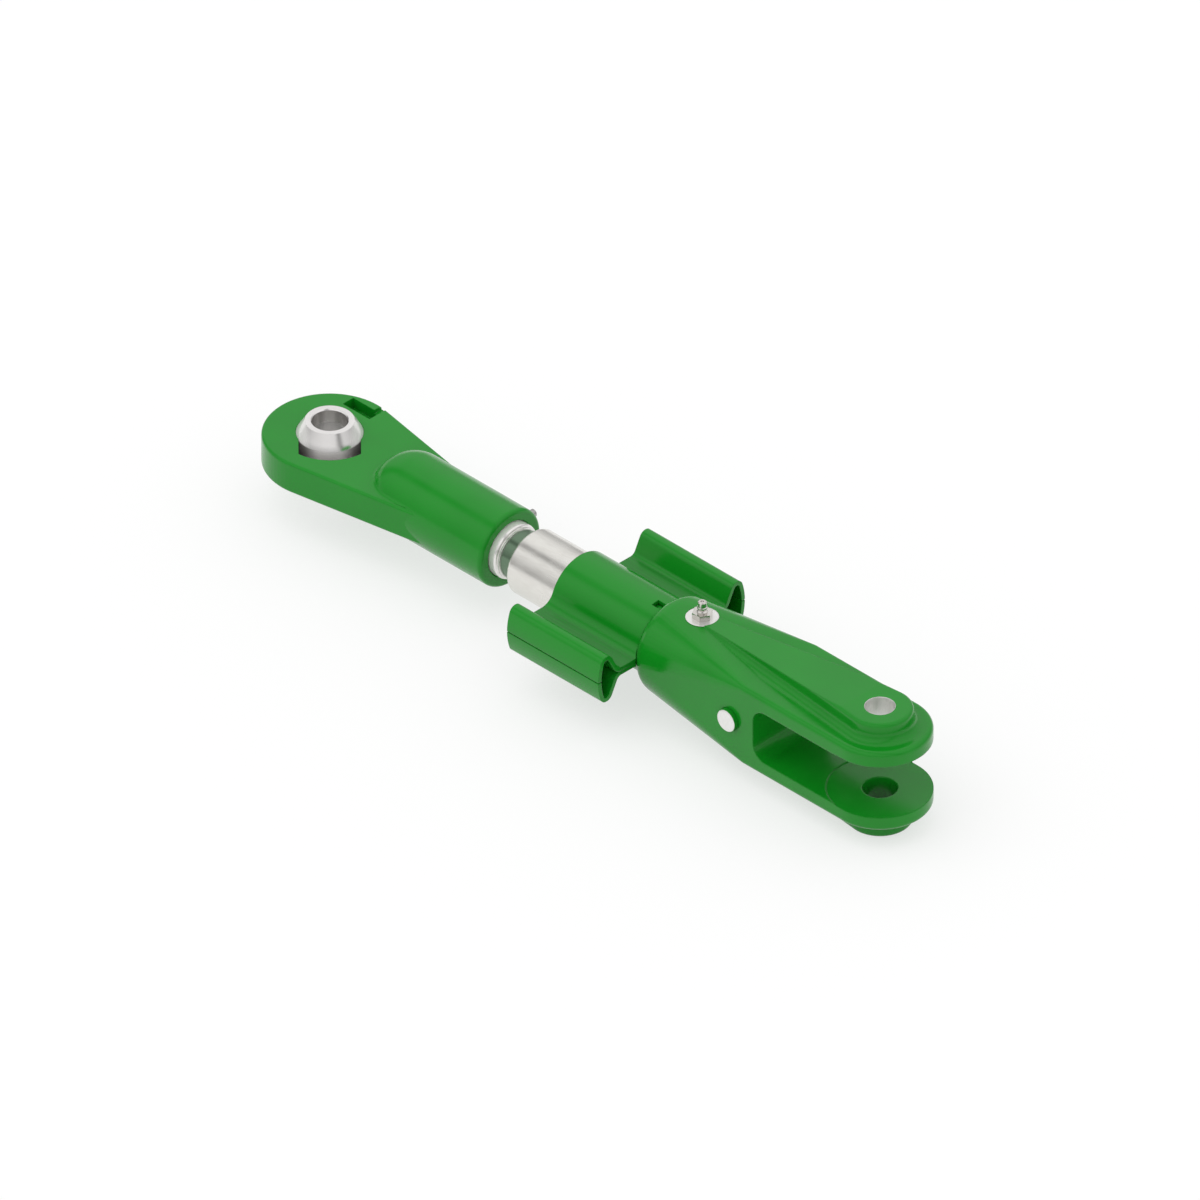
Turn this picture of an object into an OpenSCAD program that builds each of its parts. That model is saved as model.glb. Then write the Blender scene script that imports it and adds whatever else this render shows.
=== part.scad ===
// Adjustable three-point lift link in millimetres.
// The origin is the centre of the swivel ball. +X runs along the link to the clevis, +Z is up, and the side that
// carries the round ends of the loading slot and the near retaining pin is -Y.

/* [Upper end] */
// Radius of the round end of the eye
eye_r = 48.3; // [44:0.1:54]
// Height of the eye's top face above the ball centre
eye_rise = 11; // [9:0.1:12]
// Depth of the eye's bottom face below the ball centre
eye_drop = 14.2; // [11:0.1:15]
// Rounding of the eye's edges
eye_edge = 2.4; // [1:0.1:5]
// Angle at which each side of the eye runs in to the barrel
flank_angle = 10; // [8:0.5:12]
// Distance from the ball centre to the centre of the barrel's domed end
dome_x = 84; // [82:0.5:95]
// Outer radius of the barrel
barrel_r = 30.5; // [28:0.1:34]
// Length of the barrel from the dome centre to its end face
barrel_l = 96; // [80:0.5:120]
// Rounding of the barrel's end
barrel_edge = 3; // [0.5:0.1:4]
// Depth of the threaded bore from the barrel's end face
bore_depth = 108; // [104:0.5:109]
// Forged fillet between the eye and the barrel
root_fillet = 4; // [2:0.1:6]
// Distance of the barrel's grease fitting from the barrel's end face
barrel_fitting_back = 19.4; // [15:0.1:40]
// Seat of the barrel's grease fitting, out from the barrel axis
barrel_fitting_seat = 29.9; // [29.4:0.1:30.2]

/* [Loading slot and rim pocket] */
// Width added to the ball's own width to load it through the slot
slot_room = 1.6; // [0.5:0.1:3]
// Reach of the loading slot from the ball centre
slot_reach = 34.9; // [31:0.1:38]
// Depth of the slot's floor below the ball centre
slot_drop = 2; // [0.5:0.1:4]
// Length of the rim pocket along the link
pocket_l = 26.5; // [15:0.1:28]
// Width of the rim pocket
pocket_w = 10.4; // [8:0.1:12]
// Depth of the pocket's ledge
pocket_ledge_depth = 8.6; // [5:0.1:9]
// Width of the ledge along the pocket's outer wall
pocket_ledge_w = 3; // [2:0.1:4]
// Depth of the pocket's floor
pocket_depth = 13.5; // [11:0.1:15]
// Distance from the link's centre line to the pocket's outer wall
pocket_out = 40.9; // [39:0.1:42]
// Distance from the ball centre to the pocket's clevis end
pocket_x = 9; // [5:0.1:12]

/* [Swivel ball] */
// Radius of the swivel ball
ball_r = 26.2; // [25.6:0.1:28]
// Width of the swivel ball over its flat faces
ball_w = 42.4; // [38:0.1:46]
// Width of the tapered shoulder that the ball's flat face has beyond its round
ball_shoulder = 2.2; // [0.5:0.1:3]
// Radius of the swivel ball's bore, for a 25.4 mm pin
ball_bore_r = 12.75; // [11:0.05:14]
// Chamfer at both ends of the ball's bore
ball_chamfer = 0.8; // [0.2:0.1:1.5]

/* [Adjusting screw] */
// Radius over the screw's thread
thread_r = 21.4; // [20:0.1:23]
// Length of the screw's thread
thread_l = 96; // [90:0.5:98]
// Length of thread that shows outside the barrel
thread_out = 6; // [3:0.5:20]
// Radius of the screw's plain stem and journal
stem_r = 18.5; // [17:0.1:19.5]
// Rounding of the bead in which the thread ends
bead_r = 1.8; // [0.8:0.1:2.4]
// Length of the ridge between the bead and the neck
ridge_l = 2.6; // [1.5:0.1:4]
// Height of the ridge above the neck
ridge_h = 1.3; // [0.5:0.1:1.5]
// Bare stem between the thread and the turning sleeve
neck_l = 14; // [12:0.5:30]
// Depth of the journal's retaining groove
groove_depth = 5.3; // [4:0.1:7]
// Length of the lip past the retaining groove
lip_l = 6.2; // [4:0.1:6.5]

/* [Turning sleeve] */
// Outer radius of the turning sleeve
sleeve_r = 25.4; // [24:0.1:26]
// Length of the turning sleeve
sleeve_l = 118; // [112:0.5:130]
// Rounding of the turning sleeve's open end
sleeve_edge = 3; // [1:0.1:4]
// Radius of the sleeve pin
sleeve_pin_r = 3; // [2:0.1:4]
// Wall of the rolled sleeve pin
sleeve_pin_wall = 1.3; // [1:0.1:1.6]
// Distance of the sleeve pin from the sleeve's clevis end
sleeve_pin_back = 28; // [20:0.5:30]
// Length of each drive key
key_l = 40; // [20:0.5:44]
// Thickness of each drive key
key_t = 6; // [3:0.1:6]
// Depth to which each drive key is let into the sleeve
key_seat = 2.5; // [2:0.1:4]
// Distance of the drive keys from the sleeve's clevis end
key_back = 16; // [12:0.5:22]

/* [Handle] */
// Outer radius of the handle's sleeve
handle_r = 29.5; // [29.5:0.1:31]
// Thickness of the handle's sheet
sheet = 3.2; // [2.8:0.1:3.2]
// Length of the handle
handle_l = 91; // [85:0.5:110]
// Length by which the wings pass the start of the clevis shoulder
wing_overhang = 4.5; // [2:0.5:10]
// Bend radius, bore side, between the sleeve and the flange
root_bend = 15; // [12:0.1:16]
// Distance from the axis to the end of the flat flange
flange_reach = 50; // [46:0.1:54]
// Bend radius, outside, between the flange and the wing's inner wall
wing_bend = 5; // [3:0.1:6]
// Slope of the wing's inner wall
wing_slope = 63.4; // [55:0.1:70]
// Height of the wing's top above the handle's joint plane
wing_top = 19.2; // [17:0.1:22]
// Outside corner radius of the wing
wing_corner = 6; // [4.5:0.1:7]
// Distance from the axis to the wing's outer wall at the joint plane
wing_reach = 73; // [72.6:0.1:75]
// Half of the open joint on the wing's outer wall
seam = 0.45; // [0.1:0.05:0.6]
// Length of the lock notch in the handle's end
notch_l = 8.3; // [5:0.1:9]
// Width of the lock notch
notch_w = 6.6; // [5:0.1:8]

/* [Clevis] */
// Length of the clevis spigot that carries the handle's end
spigot_l = 16; // [13:0.1:18]
// Thickness of the thrust washer
washer_t = 1.9; // [1:0.1:3]
// Length of the clevis shoulder
shoulder_l = 11.7; // [9:0.1:14.5]
// Part of the shoulder's quarter round that is left off where it meets the handle
shoulder_cut = 30; // [0:5:50]
// Radius of the clevis where the shoulder ends
shoulder_r = 37.6; // [36:0.1:39]
// Length of the forged body between the shoulder and the ears
body_l = 100.3; // [95:0.1:110]
// Distance from the ears' root to the centre of the ear holes
ear_l = 100; // [95:0.5:110]
// Half width of the ears and radius of their ends
ear_r = 37.8; // [36:0.1:40]
// Height of the ears' outer faces above the axis
ear_top = 33.5; // [32:0.1:35]
// Rounding of the ears' outer edges
ear_edge = 4; // [1:0.1:5]
// Gap between the finished faces of the ears
ear_gap = 43.7; // [40:0.1:45]
// Depth of the round finished face on the inside of each ear
face_cut = 0.6; // [0.2:0.1:1]
// Depth of the slot from the centre of the ear holes
slot_depth = 89; // [84:0.5:89.5]
// Corner radius at the root of the slot
slot_corner = 12; // [6:0.5:16]
// Height of the boss faces above the axis
boss_top = 48.5; // [46:0.1:50]
// Radius of the bosses
boss_r = 24; // [22:0.1:26]
// Fillet at the foot of the bosses and tongues
boss_fillet = 7; // [3:0.1:8]
// Rounding of the boss faces
boss_edge = 3; // [0.5:0.1:4]
// Angle at which each edge of the tongue runs in towards the handle
tongue_angle = 6; // [5:0.1:6.5]
// Slope of the tongue's top face
tongue_slope = 4.2; // [3.6:0.1:4.6]
// Radius of the hole in the upper ear
upper_hole_r = 10.9; // [9:0.1:13]
// Radius of the hole in the lower ear
lower_hole_r = 12.7; // [11:0.1:15]
// Radius of the retaining pins
pin_r = 8.8; // [7:0.1:9]
// Distance from the shoulder's end to the retaining pins
pin_x_in = 88; // [80:0.1:89]
// Length by which the retaining pins stand out of the clevis
pin_proud = 3.9; // [2:0.1:6]
// Distance from the shoulder's end to the clevis grease fitting
fitting_x_in = 23.3; // [18:0.1:40]
// Height of the clevis grease fitting's spot face above the axis
spot_top = 36.9; // [36.6:0.1:37.4]
// Radius of the spot face
spot_r = 12; // [9:0.1:13]
// Cord radius of the journal seal
seal_r = 1.5; // [1:0.1:1.8]

/* [Grease fitting] */
// Width across the flats of the grease fitting's hexagon
hex_af = 13; // [10:0.1:14]
// Height of the hexagon
hex_h = 4.6; // [3:0.1:6]
// Height of the whole fitting above its seat
fitting_h = 13.2; // [11:0.1:14]
// Length of the fitting's head from its collar to the top
fitting_head_l = 5.6; // [4:0.1:6]
// Radius of the fitting's neck
fitting_neck_r = 3; // [2.6:0.1:3.1]
// Radius of the fitting's collar
fitting_collar_r = 3.7; // [3.4:0.1:4.4]
// Radius of the fitting's head
fitting_head_r = 3.15; // [2.8:0.05:3.4]
// Radius of the fitting's screwed shank
shank_r = 4.8; // [4:0.1:5]
// Length of the fitting's screwed shank
shank_l = 6.5; // [5:0.1:7]
// Radius of the check ball
check_r = 1.5; // [1.3:0.05:1.6]
// Wire radius of the check spring
wire_r = 0.2; // [0.15:0.01:0.25]

/* [Fits] */
// Radial play of the screw in the barrel and of the ball in its race
turn_play = 0.1; // [0.02:0.01:0.1]
// Radial play of the journal in the clevis
journal_play = 0.06; // [0.02:0.01:0.1]
// Play left round parts that only pass each other
clear = 0.3; // [0.2:0.05:0.4]
// Axial play between the turning sleeve and its thrust washer
face_play = 0.1; // [0.05:0.01:0.3]

/* [Hidden] */
$fn = 96;
facets = 64;

// Stations along the link
barrel_end = dome_x + barrel_l;
thread_end = barrel_end + thread_out;
sleeve_start = thread_end + neck_l;
sleeve_end = sleeve_start + sleeve_l;
spigot_start = sleeve_end + face_play + washer_t;
shoulder_x = spigot_start + spigot_l;
body_x = shoulder_x + shoulder_l;
ear_x = body_x + body_l;
hole_x = ear_x + ear_l;
handle_end = shoulder_x + wing_overhang;
handle_start = handle_end - handle_l;
pin_x = body_x + pin_x_in;
fitting_x = body_x + fitting_x_in;
barrel_fitting_x = barrel_end - barrel_fitting_back;
groove_half = pin_r + clear;
journal_end = pin_x + groove_half + lip_l;
sleeve_pin_x = sleeve_end - sleeve_pin_back;
key_x = sleeve_end - key_back - key_l / 2;

// Radii and heights that follow from the sizes above
handle_bore_r = handle_r - sheet;
bore_r = thread_r + turn_play;
race_r = ball_r + turn_play;
journal_bore_r = stem_r + journal_play;
shoulder_start_r = handle_r - 0.1;
slot_w = ball_w + slot_room;
rough_gap = ear_gap - 2 * face_cut;
pad_r = ear_r + 0.4;
pin_out = ear_r + pin_proud;
pin_in = stem_r - groove_depth + clear;
washer_in_r = stem_r + 2 * clear;
washer_out_r = sleeve_r - 0.4;
spigot_r = handle_bore_r - 3 * clear;
lug_r = handle_bore_r - clear;
thread_chamfer = thread_r - stem_r;
journal_chamfer = 1.5;
bite = 0.02;

// Flat face of the swivel ball and the circle on which its tapered shoulder touches the round
ball_face_r = sqrt(pow(ball_r, 2) - pow(ball_w / 2, 2)) + ball_shoulder;
taper_at = atan2(ball_w / 2, ball_face_r) - acos(ball_r / norm([ball_face_r, ball_w / 2]));
taper_r = (ball_r - bite) * cos(taper_at);
taper_z = (ball_r - bite) * sin(taper_at);

// Mouth of the race, the same above and below, so that the ball can tilt both ways
race_mouth_r = sqrt(pow(race_r, 2) - pow(min(eye_rise, eye_drop), 2));

// Small round end on which the eye's flanks run out inside the barrel
waist_x = dome_x + 0.85 * barrel_r;
waist_r = eye_r - waist_x * sin(flank_angle);

// Length of the tongue from the boss to its buried tip
tongue_l = hole_x - body_x - shoulder_l;

// The handle's bend between sleeve and flange touches the bore circle at this angle
root_at = asin(root_bend / (handle_bore_r + root_bend));
root_y = (handle_bore_r + root_bend) * cos(root_at);
key_top = root_y - sqrt(pow(root_bend + clear, 2) - pow(root_bend - key_t / 2, 2));

// Centres of the wing's corner and of its long outer wall
wing_foot = [flange_reach + wing_bend * sin(wing_slope), sheet + wing_bend * (1 - cos(wing_slope))];
corner_z = wing_top - wing_corner;
wall_run = (corner_z + wing_corner * cos(wing_slope) - wing_foot[1]) / sin(wing_slope);
corner_y = wing_foot[0] + wall_run * cos(wing_slope) + wing_corner * sin(wing_slope);
outset = wing_reach - corner_y;
bulge = abs(outset - wing_corner) < 0.001 ? 0.001 : outset - wing_corner;
wall_r = (outset * outset + corner_z * corner_z - wing_corner * wing_corner) / (2 * bulge);
wall_y = wing_reach - wall_r;
wall_at = atan2(corner_z, corner_y - wall_y) - (wall_r < 0 ? 180 : 0);
seam_at = asin(seam / (wall_r - sheet));

// Inside of a grease fitting, measured from its seat
check_bore_r = check_r + 0.1;
mouth_r = check_r - 0.25;
mouth_h = 0.8;
ball_h = fitting_h - mouth_h - sqrt(check_r * check_r - mouth_r * mouth_r) - 0.02;
spring_foot = 3;
spring_coil_r = check_bore_r - wire_r - 0.05;
spring_turns = 5;
coil_steps = 14;

// Turns a section drawn as [radius, distance along the link] about the link's axis
module about_x() {
    rotate([0, 90, 0]) rotate_extrude() children();
}

// Pushes a section drawn as [Y, Z] along +X
module along_x(length) {
    rotate([90, 0, 90]) linear_extrude(length) children();
}

// Round rod along +X from one station to another
module rod(from, to, r) {
    translate([from, 0, 0]) rotate([0, 90, 0]) cylinder(r = r, h = to - from);
}

// Half section of a plate with rounded edges: half width w, from -drop to rise
module plate_section(w, rise, drop, edge) {
    translate([0, -drop]) square([w - edge, rise + drop]);
    translate([0, edge - drop]) square([w, rise + drop - 2 * edge]);
    translate([w - edge, rise - edge]) circle(r = edge);
    translate([w - edge, edge - drop]) circle(r = edge);
}

// Fillet between a ball or rod of radius r and a flat at height h, drawn as [distance out, height]
module root_fillet_section(r, h, f) {
    centre = [sqrt(pow(r + f - bite, 2) - pow(h + f - bite, 2)), h + f - bite];
    inner = centre[0] / 2;
    difference() {
        translate([inner, h - 1]) square([centre[0] - inner, centre[1] * r / (r + f) - h + 1]);
        translate(centre) circle(r = f);
    }
}

// Flat eye: its flanks touch the round end and run in to the barrel
module eye_plate() {
    hull() {
        rotate_extrude($fn = 80) plate_section(eye_r, eye_rise, eye_drop, eye_edge, $fn = 24);
        translate([waist_x, 0, 0])
            rotate_extrude($fn = 40) plate_section(waist_r, eye_rise, eye_drop, eye_edge, $fn = 24);
    }
}

// Fillet round the dome and back along both sides of the barrel, up to the eye's rounded edges
module dome_fillet(height) {
    flat_w = eye_r - eye_edge;
    reach = waist_x - dome_x;
    intersection() {
        union() {
            translate([dome_x, 0, 0]) rotate([0, 0, 90])
                rotate_extrude(angle = 180) root_fillet_section(barrel_r, height, root_fillet);
            for (side = [0, 1])
                mirror([0, side, 0]) translate([dome_x, 0, 0])
                    along_x(reach) root_fillet_section(barrel_r, height, root_fillet);
        }
        linear_extrude(4 * barrel_r, center = true) polygon([
            [0, flat_w / cos(flank_angle)], [waist_x, flat_w / cos(flank_angle) - waist_x * tan(flank_angle)],
            [waist_x, waist_x * tan(flank_angle) - flat_w / cos(flank_angle)], [0, -flat_w / cos(flank_angle)]
        ]);
    }
}

// Barrel with a domed inner end and a rounded mouth
module barrel() {
    translate([dome_x, 0, 0]) sphere(r = barrel_r);
    about_x() {
        translate([0, dome_x]) square([barrel_r, barrel_l - barrel_edge]);
        translate([0, dome_x]) square([barrel_r - barrel_edge, barrel_l]);
        translate([barrel_r - barrel_edge, barrel_end - barrel_edge]) circle(r = barrel_edge);
    }
    dome_fillet(eye_rise);
    mirror([0, 0, 1]) dome_fillet(eye_drop);
}

// Slot in the top of the eye through which the ball is dropped in on its edge
module loading_slot() {
    translate([0, 0, -slot_drop]) intersection() {
        cylinder(r = slot_reach, h = slot_drop + 2 * eye_rise);
        rotate([0, 0, -45]) translate([0, -slot_w / 2, 0]) cube([slot_reach, slot_w, slot_drop + 2 * eye_rise]);
    }
}

// Stepped pocket in the far rim of the eye, with a shallow run-out through the rim
module rim_pocket() {
    runout_l = 5.5;
    runout_depth = 3;
    translate([pocket_x - pocket_l, pocket_out - pocket_w, eye_rise - pocket_ledge_depth])
        cube([pocket_l, pocket_w, 2 * pocket_ledge_depth]);
    translate([pocket_x - pocket_l + pocket_ledge_w, pocket_out - pocket_w, eye_rise - pocket_depth])
        cube([pocket_l - pocket_ledge_w, pocket_w - pocket_ledge_w, pocket_depth]);
    translate([pocket_x - runout_l, pocket_out - 1, eye_rise - runout_depth])
        cube([runout_l, eye_r, 2 * runout_depth]);
}

module upper_end() {
    mouth = 1;
    color("forestgreen") difference() {
        union() {
            eye_plate();
            barrel();
        }
        sphere(r = race_r);
        cylinder(r = race_mouth_r, h = 4 * eye_drop, center = true);
        loading_slot();
        rim_pocket();
        rod(barrel_end - bore_depth, barrel_end + 1, bore_r);
        translate([barrel_end - mouth, 0, 0]) rotate([0, 90, 0])
            cylinder(r1 = bore_r, r2 = bore_r + 2 * mouth, h = 2 * mouth);
        place_barrel_fitting() fitting_hole(barrel_fitting_seat - bore_r + 1);
    }
}

// Ball with tapered shoulders up to its flat faces
module swivel_ball() {
    color("gainsboro") difference() {
        union() {
            intersection() {
                sphere(r = ball_r);
                cylinder(r = ball_r + 1, h = ball_w - 1, center = true);
            }
            for (side = [0, 1])
                mirror([0, 0, side]) translate([0, 0, taper_z])
                    cylinder(r1 = taper_r, r2 = ball_face_r, h = ball_w / 2 - taper_z);
        }
        cylinder(r = ball_bore_r, h = ball_w + 2, center = true);
        for (side = [0, 1])
            mirror([0, 0, side]) translate([0, 0, ball_w / 2 - ball_chamfer])
                cylinder(r1 = ball_bore_r, r2 = ball_bore_r + 2 * ball_chamfer, h = 2 * ball_chamfer);
    }
}

// Screw: thread, neck, stem and a journal with the retaining groove
module adjusting_screw() {
    thread_start = thread_end - thread_l;
    groove_r = stem_r - groove_depth;
    color("lightgrey") difference() {
        about_x() polygon(concat(
            [[0, thread_start], [thread_r - thread_chamfer, thread_start], [thread_r, thread_start + thread_chamfer]],
            [for (a = [0 : 15 : 75]) [thread_r - bead_r * (1 - cos(a)), thread_end - bead_r * (1 - sin(a))]],
            [[stem_r + ridge_h - 0.3, thread_end + 0.2], [stem_r + ridge_h, thread_end + 0.7],
            [stem_r + ridge_h, thread_end + ridge_l - 0.5], [stem_r, thread_end + ridge_l],
            [stem_r, pin_x - groove_half], [groove_r, pin_x - groove_half], [groove_r, pin_x + groove_half],
            [stem_r, pin_x + groove_half], [stem_r, journal_end - journal_chamfer],
            [stem_r - journal_chamfer, journal_end], [0, journal_end]]
        ));
        translate([sleeve_pin_x, 0, 0]) cylinder(r = sleeve_pin_r, h = 3 * stem_r, center = true);
    }
}

// One drive key: a flat bar with round ends, lying in the handle's joint plane
module drive_key() {
    straight = key_l - key_t;
    depth = key_top - (sleeve_r - key_seat);
    translate([key_x, sleeve_r - key_seat, 0]) rotate([-90, 0, 0]) linear_extrude(depth) {
        square([straight, key_t], center = true);
        for (end = [-1, 1]) translate([end * straight / 2, 0]) circle(d = key_t);
    }
}

module near_drive_key() {
    color("dimgrey") mirror([0, 1, 0]) drive_key();
}

module far_drive_key() {
    color("dimgrey") drive_key();
}

module turning_sleeve() {
    color("silver") difference() {
        about_x() {
            translate([0, sleeve_start + sleeve_edge]) square([sleeve_r, sleeve_l - sleeve_edge]);
            translate([0, sleeve_start]) square([sleeve_r - sleeve_edge, sleeve_l]);
            translate([sleeve_r - sleeve_edge, sleeve_start + sleeve_edge]) circle(r = sleeve_edge);
        }
        rod(sleeve_start - 1, sleeve_end + 1, stem_r);
        translate([sleeve_pin_x, 0, 0]) cylinder(r = sleeve_pin_r, h = 3 * sleeve_r, center = true);
        drive_key();
        mirror([0, 1, 0]) drive_key();
    }
}

// Rolled spring pin with its open joint
module sleeve_pin() {
    length = 2 * sleeve_r - 3;
    joint = 0.8;
    color("dimgrey") translate([sleeve_pin_x, 0, 0]) difference() {
        cylinder(r = sleeve_pin_r, h = length, center = true);
        cylinder(r = sleeve_pin_r - sleeve_pin_wall, h = length + 1, center = true);
        translate([sleeve_pin_r, 0, 0]) cube([2 * sleeve_pin_r, joint, length + 1], center = true);
    }
}

// Points of an arc with the direction from the sheet's bore side to its outside
function arc_run(centre, r, from, to, outward, steps) = [
    for (i = [0 : steps])
        let (a = from + (to - from) * i / steps)
            [centre + r * [cos(a), sin(a)], outward * [cos(a), sin(a)]]
];

// Middle of the sheet from the crown of the sleeve to the seam of one wing
function half_run() = concat(
    arc_run([0, 0], handle_bore_r + sheet / 2, 90, root_at, 1, 24),
    arc_run([root_y, root_bend], root_bend - sheet / 2, 180 + root_at, 270, -1, 14),
    arc_run([flange_reach, sheet + wing_bend], wing_bend + sheet / 2, 270, 270 + wing_slope, -1, 10),
    arc_run([corner_y, corner_z], wing_corner - sheet / 2, 90 + wing_slope, wall_at, 1, 16),
    arc_run([wall_y, 0], wall_r - sheet / 2, wall_at, seam_at, 1, 5)
);

// The same run carried over to the wing on the other side
function full_run(run) = concat(
    [for (i = [len(run) - 1 : -1 : 1]) [[-run[i][0][0], run[i][0][1]], [-run[i][1][0], run[i][1][1]]]],
    run
);

// Closed outline of the bent sheet
function sheet_outline(run) = concat(
    [for (i = [0 : len(run) - 1]) run[i][0] + run[i][1] * sheet / 2],
    [for (i = [len(run) - 1 : -1 : 0]) run[i][0] - run[i][1] * sheet / 2]
);

// Shoulder of the clevis, grown by a clearance: [radius, station] points of the rest of a quarter ellipse
module shoulder_section(grow) {
    rise = (shoulder_r - shoulder_start_r) / (1 - sin(shoulder_cut));
    run = (shoulder_l + grow) / cos(shoulder_cut);
    steps = 14;
    polygon(concat(
        [[0, shoulder_x - grow]],
        [for (i = [0 : steps])
            let (a = shoulder_cut + (90 - shoulder_cut) * i / steps)
                [shoulder_start_r + grow + rise * (sin(a) - sin(shoulder_cut)), body_x - run * cos(a)]],
        [[0, body_x]]
    ));
}

// One pressed half of the handle, trimmed to turn past the clevis shoulder
module handle_half() {
    difference() {
        translate([handle_start, 0, 0]) along_x(handle_l) polygon(sheet_outline(full_run(half_run())));
        about_x() shoulder_section(clear);
        translate([shoulder_x - clear - notch_l, -notch_w, handle_bore_r / 2])
            cube([notch_l + clear, notch_w, handle_r]);
    }
}

module handle_upper_half() {
    color("seagreen") handle_half();
}

module handle_lower_half() {
    color("mediumseagreen") rotate([180, 0, 0]) handle_half();
}

// Forged clevis body from the round shoulder to the square root of the ears
module forged_body() {
    slab = 0.4;
    hull() {
        about_x($fn = facets) shoulder_section(0);
        for (y = [-1, 1], z = [-1, 1])
            translate([ear_x - slab, y * (ear_r - ear_edge), z * (ear_top - ear_edge)])
                rotate([0, 90, 0]) cylinder(r = ear_edge, h = slab, $fn = facets / 2);
    }
}

// Both ears as one rounded slab, before the slot is cut
module ear_slab() {
    translate([hole_x, 0, 0]) rotate([0, 0, -90])
        rotate_extrude(angle = 180) plate_section(ear_r, ear_top, ear_top, ear_edge);
    translate([ear_x, 0, 0]) along_x(ear_l) {
        plate_section(ear_r, ear_top, ear_top, ear_edge);
        mirror([1, 0]) plate_section(ear_r, ear_top, ear_top, ear_edge);
    }
}

// Plan of a boss and its tongue: points of the outline, each with its outward direction
function boss_path() =
    let (tip = tongue_l, a0 = 90 + tongue_angle, a1 = 270 - tongue_angle, steps = 40)
    concat(
        [for (i = [0 : steps])
            let (a = a1 + (360 + a0 - a1) * i / steps)
                [boss_r * [cos(a), sin(a)], [cos(a), sin(a)]]],
        [[boss_r * [cos(a0), sin(a0)] + tip * [-sin(a0), cos(a0)], [cos(a0), sin(a0)]]],
        [[boss_r * [cos(a1), sin(a1)] + tip * [sin(a1), -cos(a1)], [cos(a1), sin(a1)]]]
    );

// Edge of the boss from its buried foot to its face: [distance out, height]
function boss_edge_line() = concat(
    [[boss_fillet - bite, ear_top - 1]],
    [for (i = [0 : 7])
        let (a = 270 - 90 * i / 7)
            [boss_fillet - bite + boss_fillet * cos(a), ear_top - bite + boss_fillet * (1 + sin(a))]],
    [for (i = [0 : 4])
        let (a = 90 * i / 4)
            [boss_edge * (cos(a) - 1), boss_top + boss_edge * (sin(a) - 1)]]
);

// Boss with its tongue; the tongue narrows and slopes down towards the shoulder
module boss_and_tongue() {
    path = boss_path();
    edge = boss_edge_line();
    n = len(path);
    rows = len(edge);
    points = [for (e = edge, p = path) [p[0][0] + e[0] * p[1][0], p[0][1] + e[0] * p[1][1], e[1]]];
    walls = [
        for (j = [0 : rows - 2], i = [0 : n - 1])
            let (k = (i + 1) % n)
                [j * n + i, (j + 1) * n + i, (j + 1) * n + k, j * n + k]
    ];
    caps = [[for (i = [0 : n - 1]) i], [for (i = [n - 1 : -1 : 0]) (rows - 1) * n + i]];
    difference() {
        translate([hole_x, 0, 0]) polyhedron(points = points, faces = concat(walls, caps));
        translate([fitting_x, 0, spot_top]) rotate([0, -tongue_slope, 0])
            translate([-hole_x, -hole_x / 2, 0]) cube([2 * hole_x, hole_x, hole_x / 2]);
    }
}

// Slot between the ears with its rounded root and the two finished faces
module clevis_slot() {
    root = hole_x - slot_depth;
    corner_h = rough_gap / 2 - slot_corner;
    rotate([90, 0, 0]) linear_extrude(4 * ear_r, center = true) {
        translate([root + slot_corner, -rough_gap / 2]) square([slot_depth + ear_r, rough_gap]);
        translate([root, -corner_h]) square([slot_depth, 2 * corner_h]);
        for (side = [-1, 1]) translate([root + slot_corner, side * corner_h]) circle(r = slot_corner);
    }
    translate([hole_x, 0, 0]) cylinder(r = pad_r, h = ear_gap, center = true);
}

// Low lug on the spigot under the handle's lock notch
module lock_lug() {
    lug_w = notch_w - 2.2;
    lug_l = notch_l - 1.6;
    intersection() {
        rod(shoulder_x - lug_l, shoulder_x + 1, lug_r);
        translate([shoulder_x - lug_l, -lug_w - clear, 0]) cube([lug_l + 1, lug_w, handle_r]);
    }
}

module clevis_body() {
    seal_in = spigot_start + 6;
    seal_groove_half = seal_r + clear;
    color("green") difference() {
        union() {
            rod(spigot_start, shoulder_x + 1, spigot_r);
            lock_lug();
            rotate([180, 0, 0]) lock_lug();
            forged_body();
            ear_slab();
            boss_and_tongue();
            mirror([0, 0, 1]) boss_and_tongue();
            translate([fitting_x, 0, stem_r]) cylinder(r = spot_r, h = spot_top - stem_r);
        }
        translate([fitting_x, 0, spot_top]) cylinder(r = spot_r, h = boss_top);
        place_clevis_fitting() fitting_hole(spot_top - stem_r);
        rod(spigot_start - 1, journal_end + clear, journal_bore_r);
        rod(seal_in - seal_groove_half, seal_in + seal_groove_half, stem_r + 2 * seal_r + 0.1);
        translate([pin_x, 0, 0]) rotate([90, 0, 0]) cylinder(r = pin_r, h = 4 * ear_r, center = true);
        clevis_slot();
        translate([hole_x, 0, 0]) cylinder(r = upper_hole_r, h = 2 * boss_top);
        translate([hole_x, 0, -2 * boss_top]) cylinder(r = lower_hole_r, h = 2 * boss_top);
    }
}

// Retaining pin from the journal's groove out through the side of the clevis
module retaining_pin() {
    chamfer = 0.8;
    translate([pin_x, pin_in, 0]) rotate([-90, 0, 0]) {
        cylinder(r1 = pin_r - chamfer, r2 = pin_r, h = chamfer);
        translate([0, 0, chamfer]) cylinder(r = pin_r, h = pin_out - pin_in - 2 * chamfer);
        translate([0, 0, pin_out - pin_in - chamfer]) cylinder(r1 = pin_r, r2 = pin_r - chamfer, h = chamfer);
    }
}

module near_retaining_pin() {
    color("silver") mirror([0, 1, 0]) retaining_pin();
}

module far_retaining_pin() {
    color("silver") retaining_pin();
}

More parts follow.
